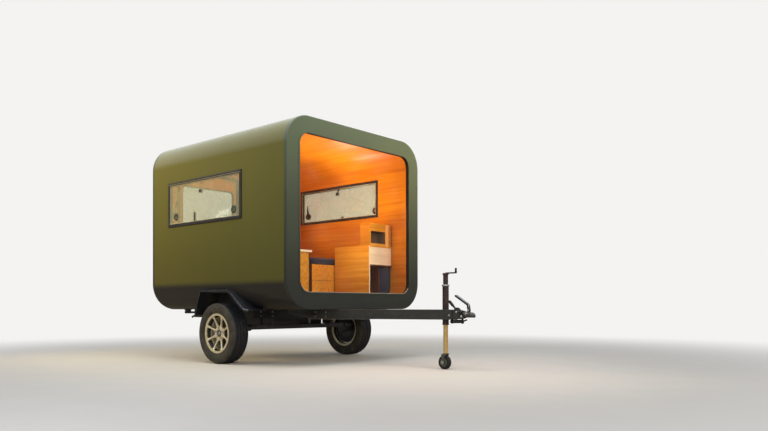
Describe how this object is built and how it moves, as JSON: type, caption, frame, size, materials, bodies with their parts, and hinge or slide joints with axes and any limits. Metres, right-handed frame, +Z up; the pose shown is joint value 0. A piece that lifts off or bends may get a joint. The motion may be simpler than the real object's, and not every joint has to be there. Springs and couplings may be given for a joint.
{
  "type": "camping trailer",
  "caption": "Small camping trailer: a rounded-square tube body with a full front window, wood interior, side windows, rear door, alloy wheels, V drawbar and jockey jack.",
  "frame": {"origin": "on the ground, at the middle of the overall length and width", "axes": "+X forward to the coupling, +Y left, +Z up"},
  "size_m": [3.831, 2.1, 2.46],
  "materials": {
    "olive_paint": "satin",
    "grey_green_paint": "satin",
    "plywood": "satin",
    "pale_board": "satin",
    "black_rubber": "matte",
    "clear_pane": "polished",
    "black_plastic": "matte",
    "black_steel": "satin",
    "plated_steel": "polished",
    "drum_iron": "matte",
    "gold_alloy": "satin",
    "tyre_rubber": "matte",
    "navy_cloth": "matte",
    "red_lens": "gloss",
    "battery_case": "matte"
  },
  "bodies": {
    "trailer": {"axle": "black_steel", "batteries": "battery_case", "bellows": "black_rubber", "bench": "plywood", "bench_cushion": "navy_cloth", "body_shell": "olive_paint", "cabinet": "plywood", "cabinet_fascia": "pale_board", "chassis": "black_steel", "cool_box": "black_plastic", "counter": "plywood", "counter_top": "pale_board", "coupling_handle": "black_steel", "coupling_head": "black_steel", "door_frame": "black_rubber", "floor": "plywood", "front_gasket": "black_rubber", "front_rim": "grey_green_paint", "front_trim": "plywood", "front_window": "clear_pane", "handbrake_lever": "black_steel", "jack_clamp": "black_steel", "jack_crank": "black_steel", "jack_tube": "black_steel", "lining": "plywood", "mudguards": "black_steel", "overrun_housing": "black_steel", "rear_rim": "grey_green_paint", "rear_trim": "plywood", "rear_wall": "olive_paint", "side_window_catches": "black_plastic", "side_window_frames": "black_plastic", "side_window_panes": "clear_pane", "steady_brackets": "black_steel", "suspension_arms": "black_steel", "tail_lamps": "red_lens", "wall_box": "plywood", "wall_hinges": "black_steel", "water_tank": "black_plastic", "wheel_boxes": "black_plastic"},
    "wheel_set_left": {"brake_drum_left": "drum_iron", "wheel_left": "gold_alloy", "tyre_left": "tyre_rubber"},
    "wheel_set_right": {"brake_drum_right": "drum_iron", "wheel_right": "gold_alloy", "tyre_right": "tyre_rubber"},
    "door": {"door_leaf": "olive_paint", "door_window_frame": "black_plastic", "door_pane": "clear_pane", "door_handle": "black_plastic", "door_hinges": "black_steel"},
    "leg": {"jack_leg": "plated_steel"},
    "fork": {"jockey_fork": "black_steel"},
    "jockey": {"jockey_wheel": "black_rubber"},
    "left_steady": {"steady_left": "black_steel"},
    "right_steady": {"steady_right": "black_steel"}
  },
  "joints": [
    {"name": "left_wheel_spin", "type": "hinge", "parent": "trailer", "child": "wheel_set_left", "pos_m": [-0.6025, 0.9435, 0.3175], "axis": [0, 1, 0], "continuous": true},
    {"name": "right_wheel_spin", "type": "hinge", "parent": "trailer", "child": "wheel_set_right", "pos_m": [-0.6025, -0.9435, 0.3175], "axis": [0, 1, 0], "continuous": true},
    {"name": "rear_door_hinge", "type": "hinge", "parent": "trailer", "child": "door", "pos_m": [-1.8895, -0.697, 1.48], "axis": [0, 0, 1], "range_deg": [0, 115]},
    {"name": "jack_extension", "type": "slide", "parent": "trailer", "child": "leg", "axis": [0, 0, 1], "range_m": [-0.05, 0.12]},
    {"name": "jockey_swivel", "type": "hinge", "parent": "leg", "child": "fork", "pos_m": [1.5845, 0, 0.15], "axis": [0, 0, 1], "continuous": true},
    {"name": "jockey_wheel_spin", "type": "hinge", "parent": "fork", "child": "jockey", "pos_m": [1.5745, 0, 0.066], "axis": [0, 1, 0], "continuous": true},
    {"name": "left_steady_drop", "type": "hinge", "parent": "trailer", "child": "left_steady", "pos_m": [-1.6665, 0.668, 0.531], "axis": [0, 1, 0], "range_deg": [0, 80]},
    {"name": "right_steady_drop", "type": "hinge", "parent": "trailer", "child": "right_steady", "pos_m": [-1.6665, -0.668, 0.531], "axis": [0, 1, 0], "range_deg": [0, 80]}
  ]
}
